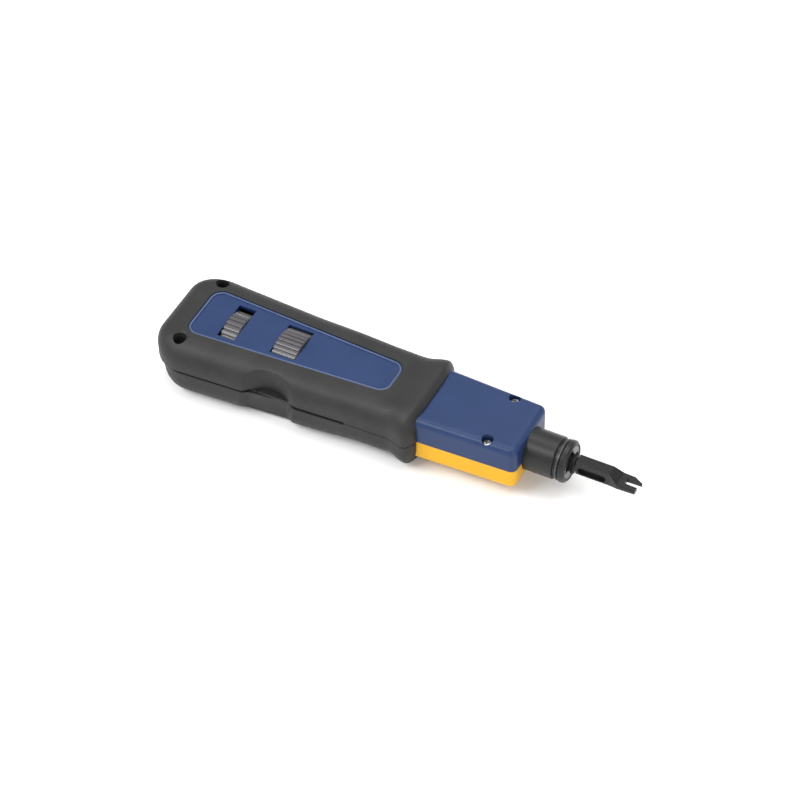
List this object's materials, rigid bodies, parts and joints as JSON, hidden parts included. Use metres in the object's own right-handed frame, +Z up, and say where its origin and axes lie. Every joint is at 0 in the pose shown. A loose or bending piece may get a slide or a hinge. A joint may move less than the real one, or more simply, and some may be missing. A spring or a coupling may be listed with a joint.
{
  "type": "punch down tool",
  "caption": "Impact punch down tool: rubber-clad handle with impact and storage thumb wheels, two fold-out tools, block front and sprung nose holding a forked blade.",
  "frame": {"origin": "centre of the footprint, on the surface the tool lies on", "axes": "+X along the tool from the handle towards the blade tip, +Y across, +Z up through the panel with the thumb wheels"},
  "size_m": [0.1792, 0.0436, 0.0257],
  "materials": {
    "blue_plastic": "fine-textured injection moulded plastic, satin",
    "yellow_plastic": "smooth injection moulded plastic, soft gloss",
    "grip_rubber": "soft-touch overmoulded elastomer, matte",
    "wheel_grey": "ribbed moulded plastic, satin",
    "bright_steel": "nickel plated or ground steel",
    "spring_steel": "spring steel, drawn",
    "nose_black": "black satin coating on turned steel",
    "nose_ring_steel": "black coating worn at the edges",
    "socket_steel": "turned steel face, dull",
    "blade_black": "black oxide on hardened steel",
    "tool_steel": "stamped stainless steel, dull"
  },
  "bodies": {
    "handle": {"upper_housing": "blue_plastic", "lower_housing": "yellow_plastic", "upper_grip": "grip_rubber", "lower_grip": "grip_rubber", "front_screws": "bright_steel", "rear_screws": "bright_steel", "lock_wheel_axle": "bright_steel", "dial_click_spring": "spring_steel", "lock_click_spring": "spring_steel", "hook_pivot_bush": "bright_steel", "spudger_pin": "bright_steel", "main_spring": "spring_steel", "return_spring": "spring_steel"},
    "nose": {"nose_sleeve": "nose_black", "plunger_rod": "bright_steel", "stop_plate": "bright_steel", "retaining_ring": "nose_ring_steel", "nose_collar": "nose_black", "bayonet_socket": "socket_steel", "detent_ball": "bright_steel", "detent_ring": "spring_steel"},
    "blade": {"blade": "blade_black"},
    "hammer": {"hammer": "bright_steel", "latch_spring": "spring_steel"},
    "latch": {"trip_latch": "bright_steel"},
    "impact_dial": {"impact_dial": "wheel_grey"},
    "spring_seat": {"spring_seat": "bright_steel"},
    "lock_wheel": {"lock_wheel": "wheel_grey"},
    "hook": {"hook_tool": "tool_steel"},
    "spudger": {"spudger_tool": "tool_steel"}
  },
  "joints": [
    {"name": "nose_slide", "type": "slide", "parent": "handle", "child": "nose", "axis": [1, 0, 0], "range_m": [-0.009, 0], "stiffness_N_per_m": 900, "springref_m": 0.004, "deforming": ["return_spring"]},
    {"name": "blade_twist", "type": "hinge", "parent": "nose", "child": "blade", "pos_m": [0.0604, 0, 0.0134], "axis": [1, 0, 0], "range_deg": [0, 45]},
    {"name": "hammer_slide", "type": "slide", "parent": "handle", "child": "hammer", "axis": [1, 0, 0], "range_m": [-0.009, 0], "deforming": ["main_spring"]},
    {"name": "latch_trip", "type": "slide", "parent": "hammer", "child": "latch", "axis": [0, 0, 1], "range_m": [0, 0.0016], "stiffness_N_per_m": 150, "springref_m": -0.001, "deforming": ["latch_spring"]},
    {"name": "impact_dial_turn", "type": "hinge", "parent": "handle", "child": "impact_dial", "pos_m": [-0.043, 0, 0.0134], "axis": [1, 0, 0], "range_deg": [0, 270]},
    {"name": "spring_seat_slide", "type": "slide", "parent": "handle", "child": "spring_seat", "axis": [1, 0, 0], "range_m": [0, 0.003]},
    {"name": "lock_wheel_turn", "type": "hinge", "parent": "handle", "child": "lock_wheel", "pos_m": [-0.0649, 0, 0.0134], "axis": [1, 0, 0], "range_deg": [0, 90]},
    {"name": "hook_swing", "type": "hinge", "parent": "handle", "child": "hook", "pos_m": [-0.079, -0.0154, 0.0128], "axis": [0, 0, -1], "range_deg": [0, 115]},
    {"name": "spudger_swing", "type": "hinge", "parent": "handle", "child": "spudger", "pos_m": [-0.0186, -0.0139, 0.0128], "axis": [0, 0, 1], "range_deg": [0, 90]}
  ],
  "couplings": [
    {"joint": "hammer_slide", "follows": "nose_slide", "ratio": 1},
    {"joint": "impact_dial_turn", "follows": "spring_seat_slide", "rad_per_m": 1570.8}
  ]
}
